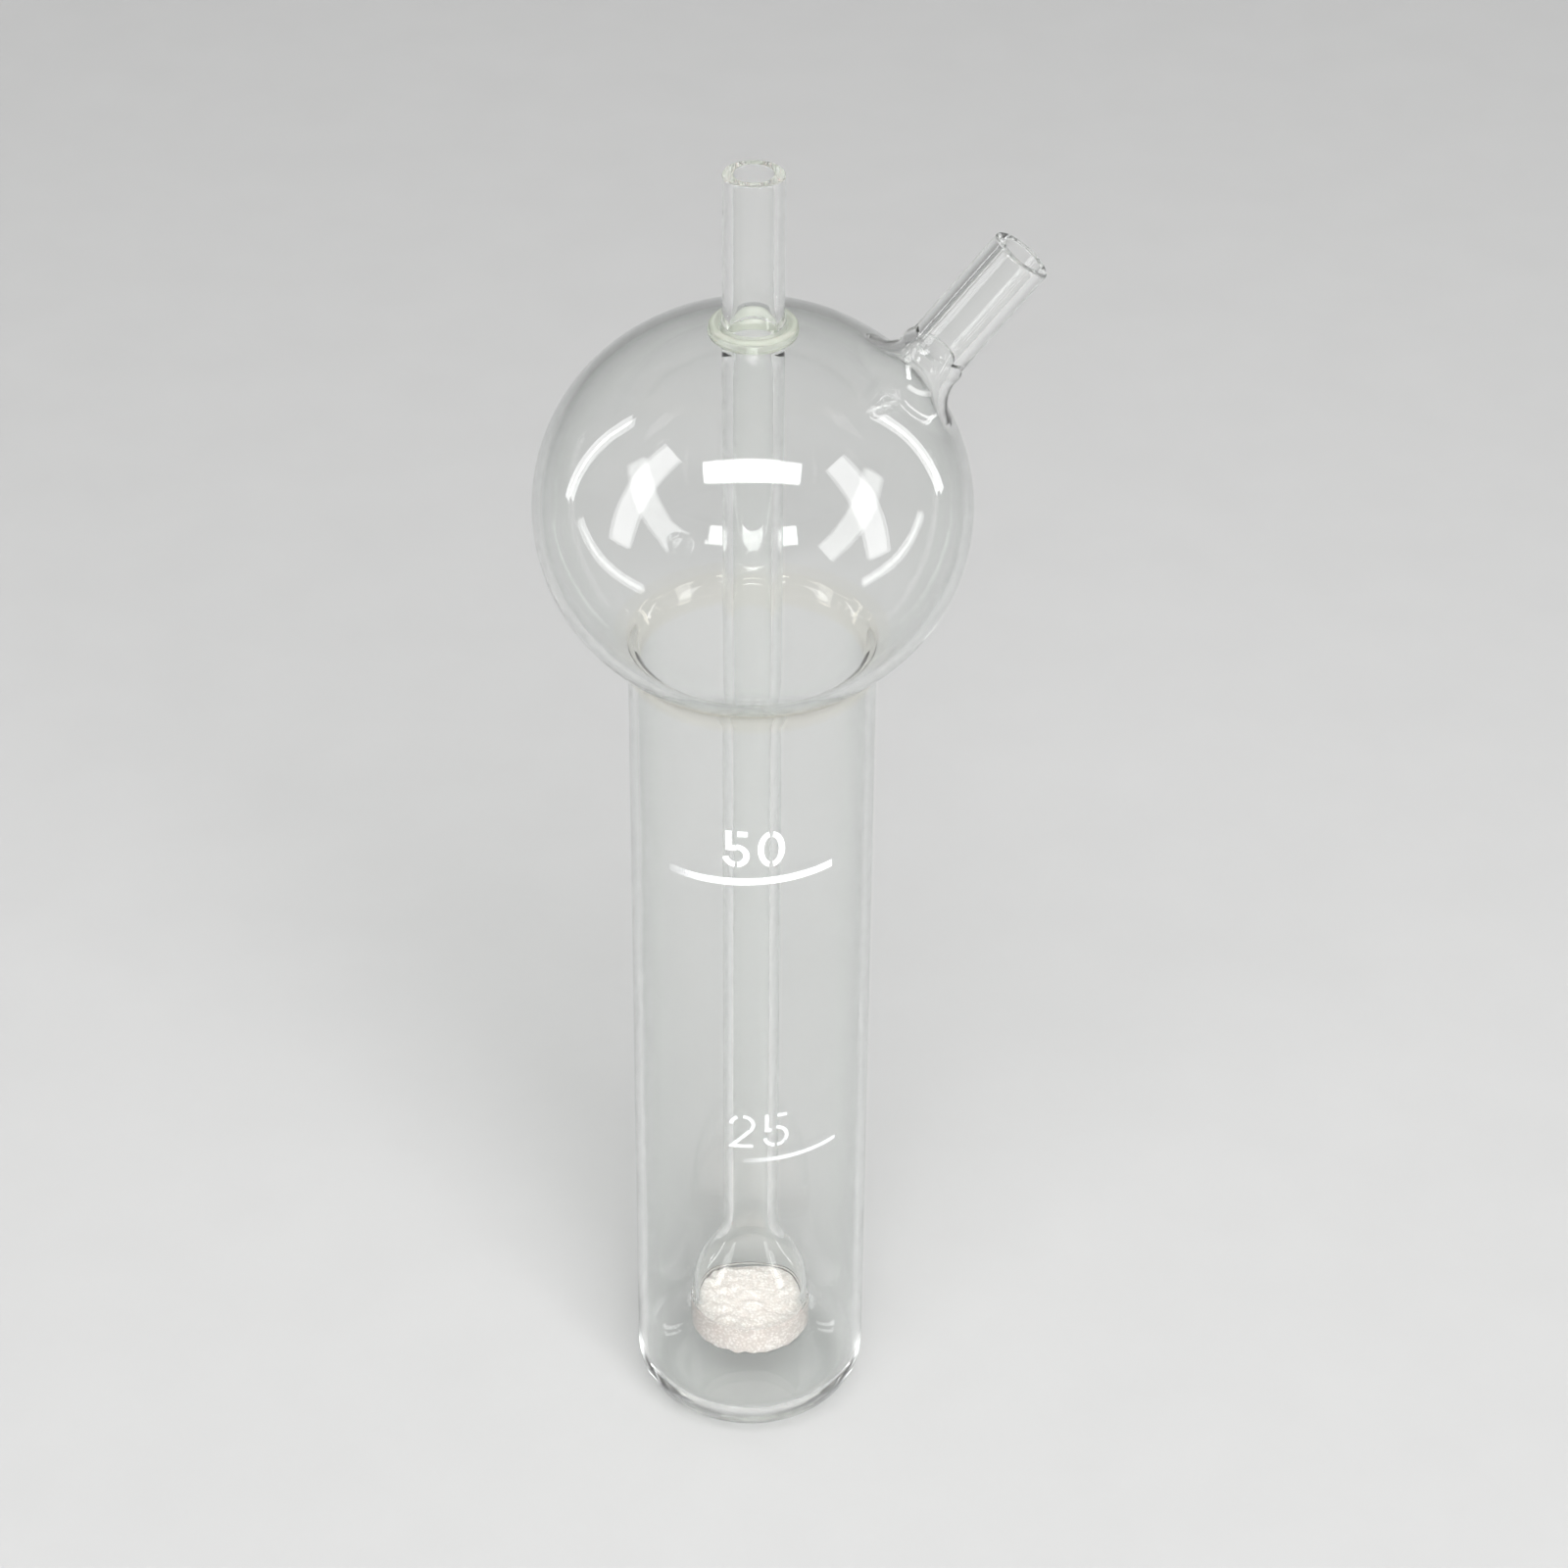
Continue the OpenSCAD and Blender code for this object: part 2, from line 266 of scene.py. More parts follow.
@dataclass(frozen=True)
class ClearGlass:
    """Blown borosilicate, clear face on; its dark green-grey edge tint is painted shade, partly the
    glass's own green.
    """

    name: str
    slot: str
    face: tuple = colour(0.985, 0.99, 0.985)
    # Painted shade: the colour at grazing angles, dark for the outline that glass shows there, partly
    # the glass's own green.
    edge: tuple = colour(0.42, 0.47, 0.44)
    painted_edge_power: float = 3.0
    roughness: float = 0.0
    ripple_scale: float = 90.0
    ripple_depth: float = 0.00004
    milk: float = 0.0
    milk_tint: tuple = colour(0.64, 0.67, 0.59)
    shade: tuple = colour(0.95, 0.955, 0.95)
    edge_shade: tuple = colour(0.42, 0.44, 0.43)
    shade_power: float = 2.0

    def make(self) -> bpy.types.Material:
        """Builds the material.

        Returns:
            The material.
        """
        t = NodeTree(self.name)
        # Painted shade: towards grazing angles the colour is blended from face to the dark edge colour.
        facing = t.add("LayerWeight", Blend=0.5).outputs["Facing"]
        painted_edge_share = t.maths("POWER", facing, self.painted_edge_power)
        tint = t.blend_colours(painted_edge_share, self.face, self.edge)
        ripple = t.noise(self.ripple_scale, detail=1.0).outputs["Fac"]
        bump = t.add("Bump", Height=ripple, Strength=1.0, Distance=self.ripple_depth)
        glass = t.add(
            "BsdfPrincipled",
            Base_Color=tint,
            Normal=bump.outputs["Normal"],
            Roughness=self.roughness,
            IOR=GLASS_INDEX,
            Transmission_Weight=1.0,
        )
        body = glass.outputs[0]
        if self.milk:
            near = t.add("BsdfDiffuse", Color=self.milk_tint)
            far = t.add("BsdfTranslucent", Color=self.milk_tint)
            cloud = t.blend_shaders(0.5, near.outputs[0], far.outputs[0])
            body = t.blend_shaders(self.milk, body, cloud)
        # Shadow rays pass straight through, tinted, so that the bottle's shadow stays pale.
        steep = t.maths("POWER", facing, self.shade_power)
        cast = t.blend_colours(steep, self.shade, self.edge_shade)
        open_way = t.add("BsdfTransparent", Color=cast)
        shadow = t.add("LightPath").outputs["Is Shadow Ray"]
        return t.finish(t.blend_shaders(shadow, body, open_way.outputs[0]))


@dataclass(frozen=True)
class FusedJoint:
    """The face where two pieces are fused: light passes it unbent."""

    name: str = "fused joint"

    def make(self) -> bpy.types.Material:
        """Builds the material."""
        t = NodeTree(self.name)
        return t.finish(t.add("BsdfTransparent").outputs[0])


@dataclass(frozen=True)
class SinteredGlass:
    """Glass grains sintered into a porous white disc."""

    name: str = "sintered glass"
    slot: str = "sintered_glass"
    pale: tuple = colour(0.885, 0.838, 0.812)
    deep: tuple = colour(0.665, 0.605, 0.575)
    grains: float = 2600.0
    patches: float = 420.0
    mottling: tuple = (0.55, 1.15)
    relief: float = 0.00012
    relief_strength: float = 0.7
    matt: float = 0.7
    glow: float = 0.7
    glow_tint: tuple = (1.0, 0.9, 0.85)
    glow_reach: float = 0.0025

    def make(self) -> bpy.types.Material:
        """Builds the material.

        Returns:
            The material.
        """
        t = NodeTree(self.name)
        grain = t.add("TexVoronoi", Vector=t.place(), Scale=self.grains)
        patch = t.noise(self.patches, detail=5.0, roughness=0.65).outputs["Fac"]
        share = t.ramp(t.maths("ADD", grain.outputs["Distance"], patch), *self.mottling)
        tint = t.blend_colours(share, self.pale, self.deep)
        height = t.maths("ADD", grain.outputs["Distance"], t.maths("MULTIPLY", patch, 2.0))
        bump = t.add("Bump", Height=height, Strength=self.relief_strength, Distance=self.relief)
        body = t.add(
            "BsdfPrincipled",
            Base_Color=tint,
            Normal=bump.outputs["Normal"],
            Roughness=self.matt,
            IOR=GLASS_INDEX,
            Subsurface_Weight=self.glow,
            Subsurface_Radius=self.glow_tint,
            Subsurface_Scale=self.glow_reach,
        )
        return t.finish(body.outputs[0])


@dataclass(frozen=True)
class FrostedEtch:
    """A frosted mark, white, matt and patchy, that fades out along X where a fade is given."""

    name: str
    slot: str = "frosted_etch"
    white: tuple = colour(0.93, 0.94, 0.95)
    matt: float = 0.85
    speckles: float = 2600.0
    speckling: tuple = (0.05, 0.5)
    clouds: float = 500.0
    clouding: tuple = (0.0, 0.45)
    strength: float = 0.88
    fade_from: float | None = None
    fade_to: float | None = None

    def make(self) -> bpy.types.Material:
        """Builds the material.

        Returns:
            The material.
        """
        t = NodeTree(self.name)
        speckle = t.ramp(t.noise(self.speckles, 3.0, 0.6).outputs["Fac"], *self.speckling)
        cloud = t.ramp(t.noise(self.clouds).outputs["Fac"], *self.clouding)
        cover = t.maths("MULTIPLY", speckle, cloud)
        cover = t.maths("MULTIPLY", cover, self.strength)
        if self.fade_from is not None:
            across = t.add("SeparateXYZ", Vector=t.place()).outputs["X"]
            cover = t.maths("MULTIPLY", cover, t.ramp(across, self.fade_from, self.fade_to))
        frost = t.add(
            "BsdfPrincipled", Base_Color=self.white, Roughness=self.matt, IOR=GLASS_INDEX
        )
        open_way = t.add("BsdfTransparent")
        return t.finish(t.blend_shaders(cover, open_way.outputs[0], frost.outputs[0]))


@dataclass(frozen=True)
class PaleFloor:
    """A plain pale floor, matt, with a trace of unevenness."""

    name: str = "pale floor"
    light: tuple = colour(0.50, 0.50, 0.497)
    dark: tuple = colour(0.475, 0.475, 0.472)
    clouds: float = 60.0
    matt: float = 0.9
    sheen: float = 0.1

    def make(self) -> bpy.types.Material:
        """Builds the material.

        Returns:
            The material.
        """
        t = NodeTree(self.name)
        cloud = t.noise(self.clouds, detail=4.0).outputs["Fac"]
        tint = t.blend_colours(cloud, self.light, self.dark)
        body = t.add(
            "BsdfPrincipled", Base_Color=tint, Roughness=self.matt, Specular_IOR_Level=self.sheen
        )
        return t.finish(body.outputs[0])


class GlassKind(Enum):
    """The finishes of clear glass on the bottle."""

    # In every kind the edge colour is painted shade, the dark outline of glass at grazing angles.
    VESSEL = ClearGlass("vessel glass", "vessel_glass")
    TUBE = ClearGlass("tube glass", "tube_glass", ripple_depth=0.00001)
    SEAM = ClearGlass(
        "seam glass",
        "seal_glass",
        face=colour(0.975, 0.965, 0.915),
        edge=colour(0.50, 0.46, 0.31),
    )
    WELD = ClearGlass("weld glass", "seal_glass")
    SEAL = ClearGlass(
        "seal glass",
        "seal_glass",
        face=colour(0.86, 0.88, 0.80),
        edge=colour(0.50, 0.55, 0.46),
        painted_edge_power=1.6,
        roughness=0.05,
        ripple_scale=500.0,
        ripple_depth=0.0002,
        milk=0.45,
    )


class Finishes:
    """Makes each material once and hands it out."""

    def __init__(self) -> None:
        """Starts with none made."""
        self.made: dict[str, bpy.types.Material] = {}

    def get(self, finish: object) -> bpy.types.Material:
        """The material of a finish.

        Args:
            finish: A finish object with a name and a make method.

        Returns:
            The material, made on the first call.
        """
        if finish.name not in self.made:
            self.made[finish.name] = finish.make()
        return self.made[finish.name]


# ---------------------------------------------------------------- turned and lofted glass


class Face(Enum):
    """What a face borders on. The value is its material index on a piece."""

    OPEN = 0
    FUSED = 1
    SINTERED = 2


@dataclass(frozen=True)
class Span:
    """A run of a half section, as (radius, height), with the outward direction at each point.

    Spans follow each other round the section with the glass on their left.
    """

    points: np.ndarray
    normals: np.ndarray
    face: Face = Face.OPEN


def straight(start: tuple, end: tuple, steps: int = 1, face: Face = Face.OPEN) -> Span:
    """A straight run of a half section.

    Args:
        start: (radius, height) where it starts.
        end: (radius, height) where it ends.
        steps: Number of parts.
        face: What the run's surface borders on.

    Returns:
        The span.
    """
    a, b = np.array(start, float), np.array(end, float)
    share = np.linspace(0, 1, steps + 1)[:, None]
    way = (b - a) / np.linalg.norm(b - a)
    normal = np.array([way[1], -way[0]])
    return Span(a + (b - a) * share, np.repeat(normal[None], steps + 1, axis=0), face)


def fused(start: tuple, end: tuple) -> Span:
    """The straight edge of a half section where it is fused to the next piece."""
    return straight(start, end, 2, Face.FUSED)


def rounded(centre: tuple, radius: float, start: float, end: float, steps: int) -> Span:
    """A circular run of a half section, convex where its angle grows.

    Args:
        centre: (radius, height) of the arc's centre.
        radius: The arc's own radius.
        start: First angle, in degrees from the outward direction.
        end: Last angle.
        steps: Number of parts.

    Returns:
        The span.
    """
    angle = np.radians(np.linspace(start, end, steps + 1))
    out = np.stack([np.cos(angle), np.sin(angle)], axis=1)
    side = 1.0 if end > start else -1.0
    return Span(np.array(centre) + radius * out, side * out)


def polished_end(tube: float, bore: float, top: float, foot: float, bore_foot: float) -> list[Span]:
    """The end of a tube with its fire-polished lip, from outside over the rim to the bore.

    Args:
        tube: Outer radius.
        bore: Radius of the bore.
        top: Height of the rim.
        foot: Height where the outside starts.
        bore_foot: Height where the bore ends.

    Returns:
        The five spans.
    """
    lip, inner = OUTER_LIP, INNER_LIP
    return [
        straight((tube, foot), (tube, top - lip), 8),
        rounded((tube - lip, top - lip), lip, 0, 90, 8),
        straight((tube - lip, top), (bore + inner, top), 2),
        rounded((bore + inner, top - inner), inner, 90, 180, 6),
        straight((bore, top - inner), (bore, bore_foot), 8),
    ]


def swept(points: list[tuple[float, float]]) -> Span:
    """A smooth run through many close points of a half section.

    Args:
        points: (radius, height) of each point.

    Returns:
        The span, with its directions taken from the neighbouring points.
    """
    p = np.array(points, float)
    way = np.gradient(p, axis=0)
    way /= np.linalg.norm(way, axis=1)[:, None]
    return Span(p, np.stack([way[:, 1], -way[:, 0]], axis=1))


@dataclass
class Strip:
    """A band of surface: for each turn step a row of points, with the outward directions."""

    points: np.ndarray
    normals: np.ndarray
    face: Face = Face.OPEN


def turned(spans: list[Span], steps: int) -> list[Strip]:
    """Turns a half section about the Z axis.

    Args:
        spans: The half section.
        steps: Number of steps round the axis.

    Returns:
        The strips of the turned surface.
    """
    angle = np.linspace(0, 2 * np.pi, steps, endpoint=False)
    c, s = np.cos(angle)[:, None], np.sin(angle)[:, None]

    def spin(flat: np.ndarray) -> np.ndarray:
        """(radius, height) rows as points at every step."""
        r, z = flat[:, 0][None], flat[:, 1][None]
        return np.stack([r * c, r * s, z + 0 * c], axis=2)

    return [Strip(spin(x.points), spin(x.normals), x.face) for x in spans]


def carried(strips: list[Strip], where: Matrix) -> list[Strip]:
    """Strips moved to another place.

    Args:
        strips: The strips.
        where: Rotation and translation.

    Returns:
        The moved strips.
    """
    turn = np.array(where.to_3x3())
    shift = np.array(where.translation)
    return [Strip(x.points @ turn.T + shift, x.normals @ turn.T, x.face) for x in strips]


def joined(name: str, strips: list[Strip]) -> bpy.types.Mesh:
    """One mesh from strips that meet end to end, with exact normals.

    Args:
        name: The mesh's name.
        strips: The strips in order round the section. The mesh is closed where the last meets
            the first, or where both ends lie on the axis.

    Returns:
        The mesh. Its material indices are the values of Face.
    """
    steps = strips[0].points.shape[0]
    columns = [strip.points[:, i] for strip in strips for i in range(strip.points.shape[1] - 1)]
    open_end = np.abs(strips[-1].points[:, -1] - strips[0].points[:, 0]).max() > SAME_POINT
    if open_end:
        columns.append(strips[-1].points[:, -1])
    vertices, first, pole = [], [], []
    for column in columns:
        first.append(len(vertices))
        pole.append(np.abs(column - column[0]).max() < SAME_POINT)
        vertices.extend(column[:1] if pole[-1] else column)

    def corner(column: int, step: int) -> int:
        """The vertex of a column at a step."""
        column %= len(columns)
        return first[column] + (0 if pole[column] else step % steps)

    faces, normals, kinds, column = [], [], [], 0
    for strip in strips:
        for i in range(strip.points.shape[1] - 1):
            for k in range(steps):
                near, far = k, (k + 1) % steps
                ring = [
                    (corner(column, near), strip.normals[near, i]),
                    (corner(column, far), strip.normals[far, i]),
                    (corner(column + 1, far), strip.normals[far, i + 1]),
                    (corner(column + 1, near), strip.normals[near, i + 1]),
                ]
                if ring[0][0] == ring[1][0]:
                    ring.pop(1)
                elif ring[2][0] == ring[3][0]:
                    ring.pop(3)
                faces.append([c[0] for c in ring])
                normals.extend(c[1] for c in ring)
                kinds.append(strip.face.value)
            column += 1
    mesh = bpy.data.meshes.new(name)
    mesh.from_pydata([tuple(v) for v in vertices], [], faces)
    mesh.polygons.foreach_set("material_index", kinds)
    mesh.polygons.foreach_set("use_smooth", [True] * len(faces))
    mesh.normals_split_custom_set([tuple(n) for n in normals])
    mesh.update()
    return mesh


class Workshop:
    """Turns meshes into pieces of the bottle, dressed and fastened to the frame."""

    def __init__(self) -> None:
        """Starts with no finishes made."""
        self.finishes = Finishes()
        self.borders = {Face.FUSED: FusedJoint(), Face.SINTERED: SinteredGlass()}

    def piece(self, mesh: bpy.types.Mesh, node: str, finish: object) -> None:
        """Adds a piece that stands for a CAD node.

        Args:
            mesh: The piece's mesh.
            node: The CAD node that it replaces.
            finish: Its finish.
        """
        piece = bpy.data.objects.new(mesh.name, mesh)
        bpy.context.scene.collection.objects.link(piece)
        mesh.materials.append(self.finishes.get(finish))
        last = max(p.material_index for p in mesh.polygons)
        for face, border in self.borders.items():
            if face.value <= last:
                mesh.materials.append(self.finishes.get(border))
        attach(piece, "root")
        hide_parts(node)
        log.info("%s stands for %s with %d faces", piece.name, node, len(mesh.polygons))

    def turn(
        self,
        name: str,
        node: str,
        finish: object,
        spans: list[Span],
        steps: int = TUBE_STEPS,
        place: Matrix | None = None,
    ) -> None:
        """Turns a half section into the piece that stands for a CAD node.

        Args:
            name: The piece's name.
            node: The CAD node that it replaces.
            finish: Its finish.
            spans: The closed half section.
            steps: Number of steps round the axis.
            place: Where the section's own frame lies, if not on the part's axis.
        """
        strips = turned(spans, steps)
        if place is not None:
            strips = carried(strips, place)
        self.piece(joined(name, strips), node, finish)

    def dress(self, node: str, finish: object) -> None:
        """Gives a CAD node a finish and keeps its shape.

        Args:
            node: The CAD node.
            finish: Its finish.
        """
        materials = frame["nodes"][node].data.materials
        materials.clear()
        materials.append(self.finishes.get(finish))
        log.info("%s keeps its own shape and is %s", node, finish.name)


# ---------------------------------------------------------------- the vessel


@dataclass
class Vessel:
    """The base, barrel, seam and bulb: one wall, turned from column, fillet and oval."""

    shop: Workshop
    wall: float = 1.15 * MM
    floor: float = 1.8 * MM
    corner: float = 6.6 * MM
    oval_height: float = 49.0 * MM
    fillet: float = 3.0 * MM
    inner_fillet: float = 2.0 * MM
    neck: float = 4.1 * MM
    flare: float = 5.0 * MM
    skin_limit: float = 0.6
    search_rounds: int = 30
    drop_rounds: int = 20
    base: Extent = extent("base")
    barrel: Extent = extent("barrel")
    seam: Extent = extent("shoulder_seam")
    bulb: Extent = extent("bulb")
    hole: float = field(default_factory=lambda: Extent.of("ring_seal").radius)

    def __post_init__(self) -> None:
        """Works out the oval's arcs and where the outlet leaves it."""
        self.column = self.barrel.radius
        half = self.bulb.radius
        self.reach = (half - self.oval_height / 2) / (2 - math.sqrt(2))
        self.side = half - self.reach
        self.cap = self.side + math.sqrt(2) * self.reach
        crown = math.sqrt(self.cap**2 - self.hole**2)
        self.middle = self.bulb.high.z - crown + self.reach
        outlet = mount("outlet_hose")
        self.outlet_way = Vector(outlet["axis"]).normalized()
        point = Vector(outlet["pos_m"])
        for _ in range(self.search_rounds):
            point -= self.outlet_way * self.gap(point, 0.0)
        self.port = point
        self.port_way = self.out_from(point)
        self.port_radius = (self.neck + self.flare) * self.cap / (self.cap + self.flare)

    def gap(self, point: Vector, inset: float) -> float:
        """Distance of a point from the oval, negative inside it.

        Args:
            point: The point.
            inset: How far the oval is drawn in: 0 or the wall.

        Returns:
            The signed distance in metres.
        """
        r, z = math.hypot(point.x, point.y), abs(point.z - self.middle)
        if z < r - self.reach:
            return math.hypot(r - self.reach, z) - self.side + inset
        return math.hypot(r, z + self.reach) - self.cap + inset

    def out_from(self, point: Vector) -> Vector:
        """The outward direction of the oval.

        Args:
            point: A point near it.

        Returns:
            The direction there, of length 1.
        """
        r, z = math.hypot(point.x, point.y), point.z - self.middle
        if abs(z) < r - self.reach:
            flat, rise = r - self.reach, z
        else:
            flat, rise = r, z + math.copysign(self.reach, z)
        return Vector((flat * point.x / r, flat * point.y / r, rise)).normalized()

    def drop(self, point: Vector, way: Vector, inset: float) -> Vector:
        """The point of the oval on a line.

        Args:
            point: A point on the line, close to the oval.
            way: The line's direction.
            inset: 0 for the outside of the wall, its thickness for the inside.

        Returns:
            The point where the line meets the oval.
        """
        for _ in range(self.drop_rounds):
            point = point - way * (self.gap(point, inset) / self.out_from(point).dot(way))
        return point

    def fillet_arc(self, inset: float, fillet: float) -> tuple[tuple, float]:
        """Centre of the concave fillet, and its last angle, where it meets the oval.

        Args:
            inset: 0 or the wall's thickness.
            fillet: The fillet's radius.

        Returns:
            ((radius, height) of the centre, angle in degrees).
        """
        x = self.column - inset + fillet
        centre = self.middle + self.reach
        drop = math.sqrt((self.cap - inset + fillet) ** 2 - x**2)
        return (x, centre - drop), math.degrees(math.atan2(drop, -x))

    def cap_angle(self, inset: float, height: float) -> float:
        """Angle on the lower cap at a height, in degrees."""
        rise = (height - self.middle - self.reach) / (self.cap - inset)
        return math.degrees(math.asin(rise))

    def make_base(self) -> None:
        """Turns the round flat base with its rounded corner."""
        top, r, w = self.base.high.z, self.column, self.wall
        foot, inner = r - self.corner, self.corner - w
        spans = [
            straight((0, 0), (foot, 0), 10),
            rounded((foot, self.corner), self.corner, -90, 0, 24),
            straight((r, self.corner), (r, top), 3),
            fused((r, top), (r - w, top)),
            straight((r - w, top), (r - w, self.floor + inner), 2),
            rounded((foot, self.floor + inner), inner, 0, -90, 24),
            straight((foot, self.floor), (0, self.floor), 10),
        ]
        self.shop.turn("base_glass", "base", GlassKind.VESSEL.value, spans, TURN_STEPS)

    def make_barrel(self) -> None:
        """Turns the straight graduated barrel."""
        low, top, r, w = self.barrel.low.z, self.barrel.high.z, self.column, self.wall
        spans = [
            fused((r - w, low), (r, low)),
            straight((r, low), (r, top), 24),
            fused((r, top), (r - w, top)),
            straight((r - w, top), (r - w, low), 24),
        ]
        self.shop.turn("barrel_glass", "barrel", GlassKind.VESSEL.value, spans, TURN_STEPS)

    def make_seam(self) -> None:
        """Turns the ring where barrel and bulb are joined, with its two fillets."""
        low, top, r, w = self.seam.low.z, self.seam.high.z, self.column, self.wall
        centre = (0, self.middle + self.reach)
        (ox, oz), out_end = self.fillet_arc(0, self.fillet)
        (ix, iz), in_end = self.fillet_arc(w, self.inner_fillet)
        outer_top, inner_top = self.cap_angle(0, top), self.cap_angle(w, top)
        outer = rounded(centre, self.cap, out_end - 180, outer_top, 6)
        inner = rounded(centre, self.cap - w, inner_top, in_end - 180, 6)
        spans = [
            fused((r - w, low), (r, low)),
            straight((r, low), (r, oz), 2),
            rounded((ox, oz), self.fillet, 180, out_end, 14),
            outer,
            fused(tuple(outer.points[-1]), tuple(inner.points[0])),
            inner,
            rounded((ix, iz), self.inner_fillet, in_end, 180, 14),
            straight((r - w, iz), (r - w, low), 2),
        ]
        self.shop.turn("seam_glass", "shoulder_seam", GlassKind.SEAM.value, spans, TURN_STEPS)

    def half_oval(self, inset: float, low: float, steps: int) -> list[Span]:
        """The outline of the bulb from a height up to the hole in its crown.

        Args:
            inset: 0 or the wall's thickness.
            low: Height where it starts.
            steps: Parts of each of the three arcs.

        Returns:
            Three spans, from the lower cap to the crown.
        """
        side, cap = self.side - inset, self.cap - inset
        end = math.degrees(math.acos(self.hole / cap))
        return [
            rounded((0, self.middle + self.reach), cap, self.cap_angle(inset, low), -45, steps),
            rounded((self.reach, self.middle), side, -45, 45, steps * 2),
            rounded((0, self.middle - self.reach), cap, 45, end, steps),
        ]

    def make_bulb(self) -> None:
        """Turns the bulb's wall and opens it where the outlet's neck is fused on."""
        low, w = self.bulb.low.z, self.wall
        outer, inner = self.half_oval(0, low, 24), self.half_oval(w, low, 24)
        back = [Span(x.points[::-1], -x.normals[::-1]) for x in reversed(inner)]
        foot_out, foot_in = outer[0].points[0], inner[0].points[0]
        top_out, top_in = outer[-1].points[-1], inner[-1].points[-1]
        spans = [
            fused(tuple(foot_in), tuple(foot_out)),
            *outer,
            fused(tuple(top_out), tuple(top_in)),
            *back,
        ]
        whole = joined("bulb_whole", turned(spans, 2 * TURN_STEPS))
        mesh = self.opened(whole)
        mesh.name = "bulb_glass"
        self.shop.piece(mesh, "bulb", GlassKind.VESSEL.value)

    def opened(self, whole: bpy.types.Mesh) -> bpy.types.Mesh:
        """Cuts the port out of the bulb and gives the glass its exact normals again.

        Args:
            whole: The bulb's closed wall.

        Returns:
            The mesh with the hole, its cut face fused.
        """
        depth = 4 * self.wall
        r = self.port_radius
        plug = [
            straight((0, -depth), (r, -depth)),
            straight((r, -depth), (r, depth)),
            straight((r, depth), (0, depth)),
        ]
        cutter_mesh = joined("port_cutter", carried(turned(plug, TUBE_STEPS), self.port_place()))
        bulb = bpy.data.objects.new("bulb_whole", whole)
        cutter = bpy.data.objects.new("port_cutter", cutter_mesh)
        for thing in (bulb, cutter):
            bpy.context.scene.collection.objects.link(thing)
        cut = bulb.modifiers.new("port", "BOOLEAN")
        cut.operation, cut.object, cut.solver = "DIFFERENCE", cutter, "EXACT"
        shown = bulb.evaluated_get(bpy.context.evaluated_depsgraph_get())
        mesh = bpy.data.meshes.new_from_object(shown)
        bpy.data.objects.remove(bulb)
        bpy.data.objects.remove(cutter)
        self.true_normals(mesh)
        return mesh

    def port_place(self) -> Matrix:
        """The port's own frame: its origin on the bulb and its Z out of it."""
        return Matrix.Translation(self.port) @ leaning(self.port_way)

    def true_normals(self, mesh: bpy.types.Mesh) -> None:
        """Marks the cut, foot and crown faces as fused and sets the exact normals of the rest.

        Args:
            mesh: The opened bulb.
        """
        low, half = self.bulb.low.z, self.wall / 2
        normals = []
        for face in mesh.polygons:
            middle = face.center
            out = self.out_from(middle)
            face.use_smooth = True
            along = face.normal.dot(out)
            joint = abs(along) < self.skin_limit or middle.z < low + SAME_HEIGHT
            face.material_index = (Face.FUSED if joint else Face.OPEN).value
            for i in face.vertices:
                point = mesh.vertices[i].co
                if joint:
                    normals.append(face.normal.copy())
                else:
                    outside = self.gap(point, 0.0) > -half
                    normals.append(self.out_from(point) * (1 if outside else -1))
        mesh.normals_split_custom_set(normals)
        mesh.update()

    def make(self) -> None:
        """Builds the vessel's four pieces."""
        self.make_base()
        self.make_barrel()
        self.make_seam()
        self.make_bulb()


def leaning(way: Vector) -> Matrix:
    """The turn about Y that takes Z to a direction in the XZ plane.

    Args:
        way: The direction.

    Returns:
        A 4x4 rotation.
    """
    return Matrix.Rotation(math.atan2(way.x, way.z), 4, "Y")


# ---------------------------------------------------------------- inlet and dip tube


